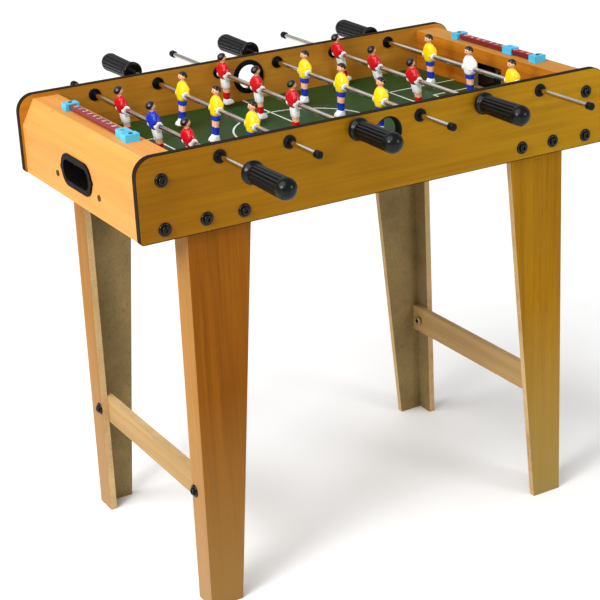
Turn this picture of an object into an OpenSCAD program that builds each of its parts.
// Six-rod tabletop football table on four folded legs.
// Frame: X runs along the table, Y along the rods, Z up from the floor.
// Origin: the point on the floor under the middle of the table.
// Front is the -Y side, left is the -X end.

/* [Cabinet] */
// Length over the two long side panels
table_length = 690; // [660:5:740]
// Width over the outer faces of the two side panels
table_width = 372; // [366:1:374]
// Height of the top edge above the floor
table_height = 620; // [560:5:700]
// Height of a long side panel
panel_height = 105; // [100:1:120]
// Thickness of a long side panel
panel_thickness = 9; // [8:0.5:10]
// Radius of a panel's two upper corners
panel_top_r = 24; // [15:1:30]
// Radius of a panel's two lower corners
panel_bottom_r = 5; // [3:1:10]
// Thickness of the dark band round a panel's edge
band_thickness = 1; // [0.6:0.1:2]
// Thickness of the end boards, goal walls and legs
board_thickness = 9; // [8:0.5:12]
// How far the end boards stand in from the ends of the panels
end_inset = 4; // [2:0.5:8]
// Height of the crease, above the bottom edge, where the end board starts to slope
end_crease_rise = 65; // [55:1:70]
// Run of the sloping face along X
end_slope_run = 18; // [12:1:24]
// Drop from the panels' top edge to the flat ledge at each end
ledge_drop = 6.5; // [4:0.5:10]

/* [Playfield and goals] */
// Height of the playing surface
field_height = 557; // [550:1:565]
// Thickness of the playfield board
field_thickness = 5; // [3:0.5:6]
// Distance from the middle to a goal wall's inner face
goal_wall_x = 287; // [282:1:290]
// Width of a goal
goal_width = 66; // [50:2:90]
// Height of a goal
goal_height = 37; // [32:1:40]
// Height of a ball entry hole's centre
entry_height = 590.5; // [588:0.5:592]
// Radius of a ball entry hole through a panel
entry_hole_r = 20; // [19:0.5:20.5]
// Radius of the ball entry cup's inner flange
entry_flange_r = 24; // [23:0.5:25]

/* [Ball return] */
// Width of the bezel round the ball return's mouth
bezel_width = 92; // [90:1:104]
// Height of the bezel
bezel_height = 42; // [42:1:46]
// Radius of the bezel's corners
bezel_corner_r = 20; // [14:1:20]
// Width of the visible rim of the bezel
bezel_rim = 6; // [6:0.5:8]
// Height of the mouth's centre
return_height = 556; // [554:1:557]
// Wall of the moulded cup
cup_wall = 1.4; // [1.2:0.1:2]

/* [Rods] */
// Distance between neighbouring rods
rod_spacing = 94.2; // [94:0.1:95]
// Height of the rods' axes
rod_height = 604; // [603:0.5:606]
// Outside radius of a rod tube
rod_r = 3.2; // [3:0.1:4]
// Wall of a rod tube
rod_wall = 1; // [0.8:0.1:1.5]
// Radial running clearance between a rod and what turns or slides on it
running_gap = 0.05; // [0.03:0.01:0.08]
// Distance from the players' middle to a handle's inner face
handle_offset = 252; // [252:1:256]
// Distance from the players' middle to a cap's inner face
cap_offset = 253; // [252:1:256]
// How far each rod is pushed towards +Y, from the left rod to the right rod
rod_shift = [-11.5, 4, 63, 2, 63, -30];
// How far each rod's players lean, feet towards +X, in degrees
rod_lean = [9, -5, 4, -3, 13, 3];
// Radius of a bush's flange
bush_flange_r = 8.5; // [8:0.1:9]
// Thickness of a bush's flange and of its retaining ring
bush_flange = 2.5; // [2:0.1:3]
// Radius of a bush's sleeve
bush_sleeve_r = 6.5; // [6:0.1:7]

/* [Handles and caps] */
// Length of a handle
handle_length = 91; // [85:1:100]
// Radius of the flange at a handle's inner end
handle_flange_r = 14.5; // [14:0.5:16]
// Radius of the ribbed grip's core
grip_r = 12; // [11:0.1:12.1]
// Number of ribs round a grip
rib_count = 16; // [12:1:20]
// Radius of the smooth outer end
handle_end_r = 13.5; // [13.5:0.1:14]
// Radius of the cap on a rod's other end
cap_r = 5; // [4.6:0.1:6]
// Length of the cap
cap_length = 10; // [9:1:12]

/* [Players] */
// Distance between neighbouring players on a rod
player_spacing = 97; // [95:1:98]
// Height of a player's head above the rod's axis
player_top = 31; // [29:1:32]
// Depth of a player's soles below the rod's axis
player_drop = 42; // [40:1:42]
// Width of a player's body along the rod
player_width = 24.5; // [22:0.5:24.5]

/* [Legs] */
// Distance from the middle to a leg's outer edge, at the floor
leg_outer_foot = 284.5; // [280:0.5:290]
// Distance from the middle to a leg's outer edge, at the panel's bottom edge
leg_outer_top = 280.5; // [278:0.5:284]
// Distance from the middle to a leg's inner edge, at the floor
leg_inner_foot = 239; // [230:1:245]
// Distance from the middle to a leg's inner edge, at the panel's bottom edge
leg_inner_top = 194.5; // [190:0.5:198]
// Depth of a leg's narrow side along Y
leg_side_depth = 36; // [34:1:45]
// How far a leg reaches up inside the cabinet
leg_reach = 35; // [30:1:36]
// Height of a stretcher's centre
stretcher_height = 160; // [140:5:220]
// Depth of a stretcher
stretcher_depth = 40; // [36:1:46]

/* [Scorers] */
// Distance from the middle to a scorer bar's end
scorer_half = 87; // [80:1:90]
// Width of a scorer bar
scorer_bar_w = 10; // [9:0.5:12]
// Height of a scorer bar
scorer_bar_h = 6; // [5.5:0.5:6.5]
// Gap between a scorer bar and the ledge
scorer_lift = 2; // [1.8:0.1:2.2]
// Length of an end bracket
bracket_length = 14; // [12:1:16]
// Width of an end bracket
bracket_width = 19; // [18:1:21]
// Height of an end bracket
bracket_height = 9.5; // [9:0.5:12]
// Length of a score slider
slider_length = 20; // [16:1:20]
// Where the left and the right slider stand along Y
slider_at = [-73.5, -31];

/* [Hidden] */
$fn = 64;
eps = 0.01;
half_length = table_length / 2;
half_width = table_width / 2;
inner_y = half_width - panel_thickness;
bottom_z = table_height - panel_height;
ledge_z = table_height - ledge_drop;
end_x = half_length - end_inset;
crease_z = bottom_z + end_crease_rise;
slope_top_x = end_x - end_slope_run;
wall_back_x = goal_wall_x + board_thickness;
end_inner_x = end_x - board_thickness;
field_bottom = field_height - field_thickness;
block_gap = 0.1;
block_depth = end_inner_x - wall_back_x - 2 * block_gap;

// Folds of an end board's outer face in X and Z, and the slope's outward direction
crease = [end_x, crease_z];
brow = [slope_top_x, ledge_z];
slope_out = [ledge_z - crease_z, end_slope_run] / norm(brow - crease);

// Fasteners
bolt_r = 3;
bolt_hole_r = 3.1;
bolt_head_r = 5.2;
bolt_head_h = 3.6;
socket_r = 2.4;
socket_depth = 2.2;
washer_r = 8.5;
washer_h = 1.6;
nut_r = 6;
nut_h = 6;
corner_bolt_x = half_length - 32.5;
corner_bolt_z = [bottom_z + 14.5, bottom_z + 74.5];
corner_bolt_length = 36;
leg_bolt_x = [half_length - 138, half_length - 87.5];
leg_bolt_z = bottom_z + 16.5;
leg_bolt_length = panel_thickness + board_thickness + nut_h + 1;
stretcher_bolt_y = inner_y - 28;
stretcher_bolt_length = 2 * board_thickness + nut_h + 1;
screw_y = 65;
screw_z = return_height - 14;
screw_r = 1.8;
screw_head_r = 4;
screw_length = 24;

// Legs and stretchers
face_gap = 0.05;
// Distance from the middle to a leg's edge at height z.
function leg_edge(foot, top, z) = foot + (top - foot) * z / bottom_z;
// Outer face of the stretchers: they stand just clear of the leaning sides of the legs.
stretcher_x = leg_edge(leg_outer_foot, leg_outer_top, stretcher_height + stretcher_depth / 2)
    - board_thickness - face_gap;
// Outer face of the legs' sides where the stretchers' bolts go in.
leg_face_x = leg_edge(leg_outer_foot, leg_outer_top, stretcher_height) + face_gap;

// Rods
tube_end_in_handle = 58;
tube_end_in_cap = 7;
rod_bore_r = rod_r + running_gap;
rods = [0:5];
function rod_x(i) = (i - 2.5) * rod_spacing;
// Handles point to the front on the first, third and fifth rods.
function handle_side(i) = i % 2 == 0 ? -1 : 1;

// Scorers
scorer_x = (slope_top_x + goal_wall_x) / 2;
bar_z = ledge_z + scorer_lift;
slider_gap = 0.3;
slider_wall = 1.8;
lip_height = 1.4;
lip_width = 2;
slider_window_r = 3.6;
bracket_socket = 3;
bracket_y = scorer_half - bracket_socket;

// ---------- helpers ----------

// Turns a profile drawn in X and Z into a board of thickness t, whose front face is at y.
module board_y(y, t) {
    translate([0, y + t, 0])
        rotate([90, 0, 0])
            linear_extrude(height = t)
                children();
}

// Turns a profile drawn in Y and Z into a board of thickness t that starts at x.
module board_x(x, t) {
    translate([x, 0, 0])
        rotate([90, 0, 90])
            linear_extrude(height = t)
                children();
}

// A cylinder along Y, from y0 to y1.
module rod_y(r, y0, y1) {
    translate([0, y1, 0])
        rotate([90, 0, 0])
            cylinder(r = r, h = y1 - y0);
}

// Children drawn for the right end, or turned round to the left end.
module at_end(side) {
    if (side > 0)
        children();
    else
        rotate([0, 0, 180])
            children();
}

// A rectangle with round corners, centred on the origin.
module round_rect(w, h, r) {
    square([w - 2 * r, h], center = true);
    square([w, h - 2 * r], center = true);
    for (sx = [-1, 1], sy = [-1, 1])
        translate([sx * (w / 2 - r), sy * (h / 2 - r)])
            circle(r = r);
}

// Where two offset edges meet, for a sheet of thickness t folded at p.
function miter(p, n1, n2, t) = p + t * (n1 + n2) / (1 + n1 * n2);
function inner_crease(t) = miter(crease, [-1, 0], -slope_out, t);
function inner_brow(t) = miter(brow, -slope_out, [0, -1], t);

// ---------- long side panels ----------

// Outline of a side panel in X and Z, drawn inset from its edge.
module panel_outline(inset) {
    half = half_length - inset;
    top_r = panel_top_r - inset;
    low_r = panel_bottom_r - inset;
    low = bottom_z + inset;
    top = table_height - inset;
    translate([-half, low + low_r])
        square([2 * half, top - low - top_r - low_r]);
    translate([top_r - half, low + low_r])
        square([2 * (half - top_r), top - low - low_r]);
    translate([low_r - half, low])
        square([2 * (half - low_r), low_r + eps]);
    for (s = [-1, 1]) {
        translate([s * (half - top_r), top - top_r])
            circle(r = top_r);
        translate([s * (half - low_r), low + low_r])
            circle(r = low_r);
    }
}

module panel_holes() {
    for (i = rods)
        translate([rod_x(i), rod_height])
            circle(r = bush_sleeve_r + running_gap);
    translate([0, entry_height])
        circle(r = entry_hole_r);
    for (s = [-1, 1]) {
        for (z = corner_bolt_z)
            translate([s * corner_bolt_x, z])
                circle(r = bolt_hole_r);
        for (x = leg_bolt_x)
            translate([s * x, leg_bolt_z])
                circle(r = bolt_hole_r);
    }
}

module side_panel(y) {
    board_y(y, panel_thickness)
        difference() {
            panel_outline(band_thickness);
            panel_holes();
        }
}

module front_panel() {
    color("darkgoldenrod")
        side_panel(-half_width);
}

module back_panel() {
    color("darkgoldenrod")
        side_panel(inner_y);
}

module edge_bands() {
    color("#3b2f22")
        for (y = [-half_width, inner_y])
            board_y(y, panel_thickness)
                difference() {
                    panel_outline(0);
                    panel_outline(band_thickness);
                }
}

// ---------- ends ----------

// Section of the folded end board in X and Z: upright, slope and ledge.
module end_section() {
    foot = [end_x, bottom_z];
    lip = [wall_back_x, ledge_z];
    t = board_thickness;
    polygon([
        foot,
        crease,
        brow,
        lip,
        lip - [0, t],
        inner_brow(t),
        inner_crease(t),
        foot - [t, 0]
    ]);
}

module end_board() {
    difference() {
        board_y(-inner_y, 2 * inner_y)
            end_section();
        board_x(end_inner_x - 1, board_thickness + 2)
            translate([0, return_height])
                round_rect(mouth_w(0.2), mouth_h(0.2), bezel_corner_r - bezel_rim + 0.2);
        for (s = [-1, 1])
            translate([end_inner_x - 1, s * screw_y, screw_z])
                rotate([0, 90, 0])
                    cylinder(r = screw_r + 0.1, h = board_thickness + 2);
    }
}

module left_end_board() {
    color("#f2ab5c")
        at_end(-1)
            end_board();
}

module right_end_board() {
    color("#f2ab5c")
        at_end(1)
            end_board();
}

module goal_wall() {
    wall_foot = 22;
    floor_z = field_bottom - wall_foot;
    board_x(goal_wall_x, board_thickness)
        difference() {
            translate([-inner_y, floor_z])
                square([2 * inner_y, ledge_z - floor_z]);
            translate([-goal_width / 2, field_height])
                square([goal_width, goal_height]);
        }
}

module left_goal_wall() {
    color("#c47a26")
        at_end(-1)
            goal_wall();
}

module right_goal_wall() {
    color("#c47a26")
        at_end(1)
            goal_wall();
}

// Size of the cup's body where it passes through the end board, with a gap all round.
function mouth_w(gap) = bezel_width - 2 * bezel_rim + 2 * gap;
function mouth_h(gap) = bezel_height - 2 * bezel_rim + 2 * gap;

// A cup pushed in from outside: a bezel with a locating bump at each side, and an open-topped
// tray that catches the ball behind the goal.
module ball_return() {
    bezel_t = 2.5;
    corner = bezel_corner_r - bezel_rim;
    tray_x = wall_back_x + 0.5;
    color("#15161a")
        difference() {
            union() {
                board_x(end_x, bezel_t)
                    translate([0, return_height]) {
                        round_rect(bezel_width, bezel_height, bezel_corner_r);
                        for (s = [-1, 1])
                            translate([s * (bezel_width / 2 - 2), 0])
                                circle(r = 4.5);
                    }
                board_x(tray_x, end_x - tray_x + eps)
                    translate([0, return_height])
                        round_rect(mouth_w(0), mouth_h(0), corner);
            }
            board_x(tray_x + cup_wall, end_x)
                translate([0, return_height])
                    round_rect(mouth_w(-cup_wall), mouth_h(-cup_wall), corner - cup_wall);
            translate([tray_x - 1, -bezel_width / 2, field_height - 3])
                cube([end_inner_x - tray_x, bezel_width, bezel_height]);
        }
}

module left_ball_return() {
    at_end(-1)
        ball_return();
}

module right_ball_return() {
    at_end(1)
        ball_return();
}

// Blocks behind the end board that keep the ball over the cup.
module guide_blocks() {
    inner = mouth_w(0.5) / 2;
    block_width = 40;
    block_height = 44;
    color("#a8793f")
        for (end = [-1, 1])
            at_end(end)
                for (s = [-1, 1])
                    difference() {
                        translate([
                            wall_back_x + block_gap,
                            s > 0 ? inner : -inner - block_width,
                            crease_z - block_height - 5
                        ])
                            cube([block_depth, block_width, block_height]);
                        translate([wall_back_x, s * screw_y, screw_z])
                            rotate([0, 90, 0])
                                cylinder(r = screw_r, h = block_depth + 1);
                    }
}

module guide_screws() {
    head_h = 1.2;
    slot_w = 1;
    color("#3a2a1c")
        for (end = [-1, 1])
            at_end(end)
                for (s = [-1, 1])
                    translate([end_x + head_h, s * screw_y, screw_z])
                        rotate([0, -90, 0])
                            difference() {
                                union() {
                                    cylinder(r = screw_head_r, h = head_h);
                                    cylinder(r = screw_r, h = screw_length);
                                }
                                translate([-screw_head_r + 0.6, -slot_w / 2, -eps])
                                    cube([2 * screw_head_r - 1.2, slot_w, head_h / 2]);
                            }
}

// ---------- playfield ----------

module playfield() {
    color("#1f4a26")
        translate([-goal_wall_x, -inner_y, field_bottom])
            cube([2 * goal_wall_x, 2 * inner_y, field_thickness]);
}

module playfield_battens() {
    length = 2 * (leg_inner_top - 10);
    depth = 15;
    color("#a8793f")
        for (s = [-1, 1])
            translate([-length / 2, s > 0 ? inner_y - depth : -inner_y, field_bottom - depth])
                cube([length, depth, depth]);
}

// Section of a corner block in X and Z, which fits under the folded end board.
module corner_block_section() {
    near_wall = wall_back_x + block_gap;
    low = bottom_z + 3;
    under = board_thickness + block_gap;
    polygon([
        [near_wall, low],
        [near_wall + block_depth, low],
        inner_crease(under),
        inner_brow(under),
        [near_wall, inner_brow(under)[1]]
    ]);
}

// Blocks that the end bolts screw into, between the end board and the goal wall.
module corner_blocks() {
    width = 30;
    color("#a8793f")
        for (end = [-1, 1], s = [-1, 1])
            at_end(end)
                difference() {
                    board_y(s > 0 ? inner_y - width : -inner_y, width)
                        corner_block_section();
                    for (z = corner_bolt_z)
                        translate([corner_bolt_x, 0, z])
                            rod_y(bolt_r, s > 0 ? inner_y - width - 1 : -inner_y - 1,
                                s > 0 ? inner_y + 1 : -inner_y + width + 1);
                }
}

// ---------- small fittings in the panels ----------

// Funnel that the ball is dropped through, with its flange inside the cabinet.
module entry_cup() {
    flange_t = 2;
    body_r = entry_hole_r - 0.1;
    throat_r = entry_hole_r - 3;
    mouth_r = entry_hole_r - 1;
    rotate([90, 0, 0])
        rotate_extrude()
            polygon([
                [throat_r, -flange_t],
                [entry_flange_r - 0.8, -flange_t],
                [entry_flange_r, -flange_t + 0.8],
                [entry_flange_r, 0],
                [body_r, 0],
                [body_r, panel_thickness],
                [mouth_r, panel_thickness],
                [throat_r, 3]
            ]);
}

module ball_entry_cups() {
    color("#17181a") {
        translate([0, -inner_y, entry_height])
            entry_cup();
        translate([0, inner_y, entry_height])
            rotate([0, 0, 180])
                entry_cup();
    }
}

// A flanged bush, its flange on the outer face of the front panel.
module bush() {
    translate([0, -half_width, 0])
        difference() {
            union() {
                rod_y(bush_flange_r, -bush_flange, 0);
                rod_y(bush_sleeve_r, -eps, panel_thickness + bush_flange);
            }
            rod_y(rod_bore_r, -bush_flange - 1, panel_thickness + bush_flange + 1);
            translate([0, -bush_flange - eps, 0])
                rotate([-90, 0, 0])
                    cylinder(r1 = bush_sleeve_r - 0.5, r2 = rod_bore_r, h = 1.5);
        }
}

module rod_bushes() {
    color("#17181a")
        for (i = rods, turn = [0, 180])
            translate([rod_x(i), 0, rod_height])
                rotate([0, 0, turn])
                    bush();
}

module bush_rings() {
    color("#17181a")
        for (i = rods, turn = [0, 180])
            translate([rod_x(i), 0, rod_height])
                rotate([0, 0, turn])
                    difference() {
                        rod_y(bush_flange_r, -inner_y, -inner_y + bush_flange);
                        rod_y(bush_sleeve_r + running_gap, -inner_y - 1, -inner_y + bush_flange + 1);
                    }
}

// ---------- scorers ----------

module scorer_bar() {
    translate([scorer_x - scorer_bar_w / 2, -scorer_half, bar_z])
        cube([scorer_bar_w, 2 * scorer_half, scorer_bar_h]);
}

module left_scorer_bar() {
    color("#8c1c2c")
        mirror([1, 0, 0])
            scorer_bar();
}

module right_scorer_bar() {
    color("#8c1c2c")
        scorer_bar();
}

// An end block with a socket for the bar.
module bracket() {
    difference() {
        translate([-bracket_width / 2, 0, 0])
            cube([bracket_width, bracket_length, bracket_height]);
        translate([-scorer_bar_w / 2, -1, scorer_lift])
            cube([scorer_bar_w, bracket_socket + 1, scorer_bar_h]);
        translate([0, bracket_length / 2 + 1, -1])
            cylinder(r = screw_r + 0.1, h = bracket_height + 2);
    }
}

module scorer_brackets() {
    color("#55c4e2")
        for (sx = [-1, 1], turn = [0, 180])
            translate([sx * scorer_x, 0, ledge_z])
                rotate([0, 0, turn])
                    translate([0, bracket_y, 0])
                        bracket();
}

module scorer_screws() {
    along = bracket_y + bracket_length / 2 + 1;
    head_r = 2.6;
    head_h = 0.8;
    color("#2a2f3a")
        for (sx = [-1, 1], sy = [-1, 1])
            translate([sx * scorer_x, sy * along, ledge_z]) {
                cylinder(r = screw_r, h = bracket_height);
                translate([0, 0, bracket_height])
                    cylinder(r = head_r, h = head_h);
            }
}

// A sleeve that wraps round the bar and slides along it, with a round window over the numbers.
module score_slider() {
    inner_w = scorer_bar_w + 2 * slider_gap;
    inner_h = scorer_bar_h + 2 * slider_gap;
    floor_z = scorer_lift - slider_gap - lip_height;
    translate([-inner_w / 2 - slider_wall, -slider_length / 2, floor_z])
        difference() {
            cube([inner_w + 2 * slider_wall, slider_length, lip_height + inner_h + slider_wall]);
            translate([slider_wall, -1, lip_height])
                cube([inner_w, slider_length + 2, inner_h]);
            translate([slider_wall + lip_width, -1, -1])
                cube([inner_w - 2 * lip_width, slider_length + 2, lip_height + 2]);
            translate([slider_wall + inner_w / 2, slider_length / 2, lip_height + inner_h - 1])
                cylinder(r = slider_window_r, h = slider_wall + 2);
        }
}

module left_score_slider() {
    color("#55c4e2")
        translate([-scorer_x, slider_at[0], ledge_z])
            score_slider();
}

module right_score_slider() {
    color("#55c4e2")
        translate([scorer_x, slider_at[1], ledge_z])
            score_slider();
}

// ---------- legs and stretchers ----------

// A back right leg: a tapered wide face and a narrow side, folded from one board.
module leg() {
    top_z = bottom_z + leg_reach;
    outer_top = leg_edge(leg_outer_foot, leg_outer_top, top_z);
    inner_top = leg_edge(leg_inner_foot, leg_inner_top, top_z);
    difference() {
        union() {
            board_y(inner_y - board_thickness, board_thickness)
                polygon([
                    [leg_inner_foot, 0],
                    [leg_outer_foot, 0],
                    [outer_top, top_z],
                    [inner_top, top_z]
                ]);
            board_y(inner_y - leg_side_depth, leg_side_depth)
                polygon([
                    [leg_outer_foot - board_thickness, 0],
                    [leg_outer_foot, 0],
                    [outer_top, top_z],
                    [outer_top - board_thickness, top_z]
                ]);
        }
        for (x = leg_bolt_x)
            translate([x, 0, leg_bolt_z])
                rod_y(bolt_hole_r, inner_y - board_thickness - 1, inner_y + 1);
        translate([0, stretcher_bolt_y, stretcher_height])
            rotate([0, 90, 0])
                cylinder(r = bolt_hole_r, h = half_length);
    }
}

module leg_at(mirror_x, mirror_y) {
    color("#b06f2c")
        mirror([mirror_x, 0, 0])
            mirror([0, mirror_y, 0])
                leg();
}

module leg_front_left() {
    leg_at(1, 1);
}

module leg_front_right() {
    leg_at(0, 1);
}

module leg_back_left() {
    leg_at(1, 0);
}

module leg_back_right() {
    leg_at(0, 0);
}

module stretcher() {
    length = 2 * (inner_y - board_thickness) - 0.4;
    color("#d9a05a")
        difference() {
            translate([
                stretcher_x - board_thickness,
                -length / 2,
                stretcher_height - stretcher_depth / 2
            ])
                cube([board_thickness, length, stretcher_depth]);
            for (s = [-1, 1])
                translate([0, s * stretcher_bolt_y, stretcher_height])
                    rotate([0, 90, 0])
                        cylinder(r = bolt_hole_r, h = half_length);
        }
}

module left_stretcher() {
    mirror([1, 0, 0])
        stretcher();
}

module right_stretcher() {
    stretcher();
}

// ---------- bolts, washers and nuts ----------

// A socket-head bolt that points down from a washer at z = 0.
module bolt(length) {
    color("#1b1a1c")
        difference() {
            union() {
                translate([0, 0, washer_h])
                    cylinder(r = bolt_head_r, h = bolt_head_h);
                translate([0, 0, -length])
                    cylinder(r = bolt_r, h = length + washer_h + eps);
            }
            translate([0, 0, washer_h + bolt_head_h - socket_depth])
                cylinder(r = socket_r, h = socket_depth + 1, $fn = 6);
        }
}

module washer() {
    color("#1b1a1c")
        difference() {
            cylinder(r1 = washer_r, r2 = washer_r - 0.8, h = washer_h);
            translate([0, 0, -1])
                cylinder(r = bolt_hole_r, h = washer_h + 2);
        }
}

module nut() {
    color("#b9a77c")
        difference() {
            cylinder(r = nut_r, h = nut_h);
            translate([0, 0, -1])
                cylinder(r = bolt_hole_r, h = nut_h + 2);
        }
}

// Children stand on the outer face of each panel, with +Z pointing out of it.
module on_panel(x, z) {
    for (turn = [0, 180], s = [-1, 1])
        rotate([0, 0, turn])
            translate([s * x, -half_width, z])
                rotate([90, 0, 0])
                    children();
}

// Children stand on the outer side of each leg where a stretcher meets it.
module on_leg_side() {
    for (turn = [0, 180], s = [-1, 1])
        rotate([0, 0, turn])
            translate([leg_face_x, s * stretcher_bolt_y, stretcher_height])
                rotate([0, 90, 0])
                    children();
}

module corner_bolts() {
    for (z = corner_bolt_z)
        on_panel(corner_bolt_x, z)
            bolt(corner_bolt_length);
}

module leg_bolts() {
    for (x = leg_bolt_x)
        on_panel(x, leg_bolt_z)
            bolt(leg_bolt_length);
}

module stretcher_bolts() {
    on_leg_side()
        bolt(stretcher_bolt_length);
}

module cup_washers() {
    for (z = corner_bolt_z)
        on_panel(corner_bolt_x, z)
            washer();
    for (x = leg_bolt_x)
        on_panel(x, leg_bolt_z)
            washer();
    on_leg_side()
        washer();
}

module barrel_nuts() {
    seat = leg_face_x - stretcher_x + board_thickness;
    for (x = leg_bolt_x)
        on_panel(x, leg_bolt_z)
            translate([0, 0, -panel_thickness - board_thickness - nut_h])
                nut();
    on_leg_side()
        translate([0, 0, -seat - nut_h])
            nut();
}

// ---------- rods ----------

// Children drawn for a rod at the origin whose handle points to -Y, set on rod i.
module on_rod(i) {
    translate([rod_x(i), rod_shift[i], rod_height])
        rotate([0, 0, handle_side(i) < 0 ? 0 : 180])
            children();
}

module tube(i) {
    handle_end = -handle_offset - tube_end_in_handle;
    cap_end = cap_offset + tube_end_in_cap;
    color("#b8b4b0")
        on_rod(i)
            difference() {
                rod_y(rod_r, handle_end, cap_end);
                rod_y(rod_r - rod_wall, handle_end - 1, cap_end + 1);
            }
}

// A handle: flange with a recess that takes in the bush, ribbed grip, and a smooth round end.
module handle(i) {
    flange = 6.5;
    grip_start = 11;
    end_length = 16;
    end_start = handle_length - end_length;
    rib_r = 1.4;
    recess_r = bush_flange_r + 0.8;
    recess_depth = bush_flange + 1;
    color("#141517")
        on_rod(i)
            translate([0, -handle_offset, 0])
                rotate([90, 0, 0])
                    difference() {
                        union() {
                            cylinder(r = handle_flange_r, h = flange);
                            translate([0, 0, flange - eps])
                                cylinder(r1 = grip_r + 1.5, r2 = grip_r, h = grip_start - flange + eps);
                            translate([0, 0, grip_start - eps])
                                cylinder(r = grip_r, h = end_start - grip_start + 2 * eps);
                            for (k = [0:rib_count - 1])
                                rotate([0, 0, k * 360 / rib_count])
                                    translate([grip_r, 0, grip_start])
                                        cylinder(r = rib_r, h = end_start - grip_start + 1, $fn = 24);
                            translate([0, 0, end_start])
                                cylinder(r = handle_end_r, h = end_length - handle_end_r / 2);
                            translate([0, 0, handle_length])
                                dome(handle_end_r);
                        }
                        translate([0, 0, -1])
                            cylinder(r = rod_bore_r, h = tube_end_in_handle + 3);
                        translate([0, 0, -1])
                            cylinder(r = recess_r, h = recess_depth + 1);
                    }
}

// A shallow dome whose top is at z = 0: the rounded tip of a handle or a cap.
module dome(r) {
    rise = r / 2;
    ball_r = (r * r + rise * rise) / (2 * rise);
    translate([0, 0, -ball_r])
        intersection() {
            sphere(r = ball_r);
            translate([0, 0, ball_r - rise])
                cylinder(r = r, h = rise + 1);
        }
}

module cap(i) {
    color("#141517")
        on_rod(i)
            translate([0, cap_offset, 0])
                rotate([-90, 0, 0])
                    difference() {
                        union() {
                            cylinder(r = cap_r, h = cap_length - cap_r / 2);
                            translate([0, 0, cap_length])
                                dome(cap_r);
                        }
                        translate([0, 0, -1])
                            cylinder(r = rod_bore_r, h = tube_end_in_cap + 1.3);
                    }
}

// One player, facing +X, with the rod's axis along Y through the origin.
module player() {
    w = player_width;
    shoe_h = 7;
    shoe_l = 15;
    leg_w = 12;
    leg_d = 8;
    head_r = 6.4;
    hub_r = 6;
    body_d = 14;
    difference() {
        union() {
            // shirt, widest at the elbows
            board_x(-body_d / 2, body_d)
                polygon([
                    [-8, -8],
                    [8, -8],
                    [w / 2 - 1, -2],
                    [w / 2, 3],
                    [w / 2 - 2.5, 11],
                    [6, 19],
                    [-6, 19],
                    [2.5 - w / 2, 11],
                    [-w / 2, 3],
                    [1 - w / 2, -2]
                ]);
            // neck and head
            translate([0, 0, 18])
                cylinder(r = 3, h = 4);
            translate([0, 0, player_top - head_r])
                sphere(r = head_r);
            // hub round the rod
            rod_y(hub_r, -w / 2, w / 2);
            // shorts
            translate([-5, -7.5, -16])
                cube([10, 15, 12]);
            // legs
            translate([-leg_d / 2, -leg_w / 2, -player_drop + shoe_h - eps])
                cube([leg_d, leg_w, player_drop - shoe_h - 15]);
            // shoes
            translate([-6, -6.5, -player_drop])
                cube([shoe_l, 13, shoe_h]);
        }
        rod_y(rod_bore_r, -w / 2 - 1, w / 2 + 1);
    }
}

// Players at the given places on rod i, each place in player spacings from the middle.
module players(i, places, shade) {
    facing = handle_side(i) < 0 ? 0 : 180;
    color(shade)
        translate([rod_x(i), rod_shift[i], rod_height])
            for (p = places)
                translate([0, p * player_spacing, 0])
                    rotate([0, -rod_lean[i], 0])
                        rotate([0, 0, facing])
                            player();
}

module rod_1_goalkeeper() {
    players(0, [0], "#2038c0");
}

module rod_6_goalkeeper() {
    players(5, [0], "#eeeeee");
}

front_panel();
back_panel();
edge_bands();
left_end_board();
right_end_board();
left_goal_wall();
right_goal_wall();
playfield();
playfield_battens();
corner_blocks();
guide_blocks();
left_ball_return();
right_ball_return();
guide_screws();
ball_entry_cups();
rod_bushes();
bush_rings();
scorer_brackets();
scorer_screws();
left_scorer_bar();
right_scorer_bar();
left_score_slider();
right_score_slider();
leg_front_left();
leg_front_right();
leg_back_left();
leg_back_right();
left_stretcher();
right_stretcher();
corner_bolts();
leg_bolts();
stretcher_bolts();
cup_washers();
barrel_nuts();
tube(0);  // rod_1_tube
tube(1);  // rod_2_tube
tube(2);  // rod_3_tube
tube(3);  // rod_4_tube
tube(4);  // rod_5_tube
tube(5);  // rod_6_tube
handle(0);  // rod_1_handle
handle(1);  // rod_2_handle
handle(2);  // rod_3_handle
handle(3);  // rod_4_handle
handle(4);  // rod_5_handle
handle(5);  // rod_6_handle
cap(0);  // rod_1_cap
cap(1);  // rod_2_cap
cap(2);  // rod_3_cap
cap(3);  // rod_4_cap
cap(4);  // rod_5_cap
cap(5);  // rod_6_cap
players(0, [-1, 1], "#c81e2e");  // rod_1_players
players(1, [-1, 0, 1], "#f0d020");  // rod_2_players
players(2, [-1, 0, 1], "#c81e2e");  // rod_3_players
players(3, [-1, 0, 1], "#f0d020");  // rod_4_players
players(4, [-1, 0, 1], "#c81e2e");  // rod_5_players
players(5, [-1, 1], "#f0d020");  // rod_6_players
rod_1_goalkeeper();
rod_6_goalkeeper();
